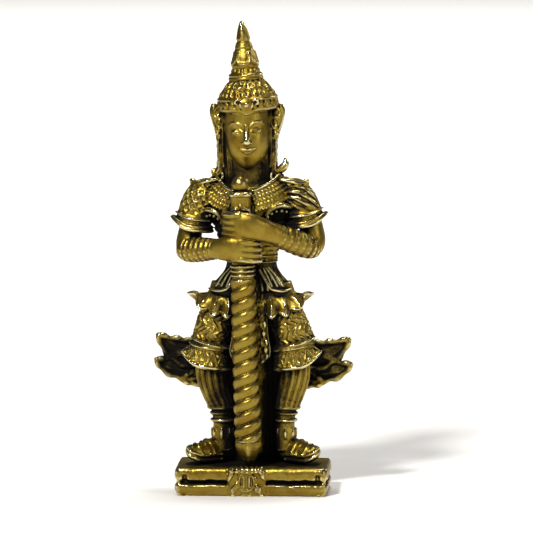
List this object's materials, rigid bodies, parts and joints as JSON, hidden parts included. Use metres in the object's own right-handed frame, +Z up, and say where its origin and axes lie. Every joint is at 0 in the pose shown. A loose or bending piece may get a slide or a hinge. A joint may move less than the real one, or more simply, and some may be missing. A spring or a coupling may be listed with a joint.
{
  "type": "guardian statue",
  "caption": "Small solid cast-brass guardian in a tiered pointed crown, standing on a grooved plinth with both hands on an upright club.",
  "frame": {"origin": "middle of the plinth's underside", "axes": "+Z up along the figure's height; the figure faces -Y; +X is to the right of someone who faces it"},
  "size_m": [0.0174, 0.0087, 0.0416],
  "materials": {
    "aged_brass": "cast, worn bright on the high spots, with a near-black patina in the recesses"
  },
  "bodies": {
    "root": {"guardian_statue": "aged_brass"}
  },
  "joints": []
}
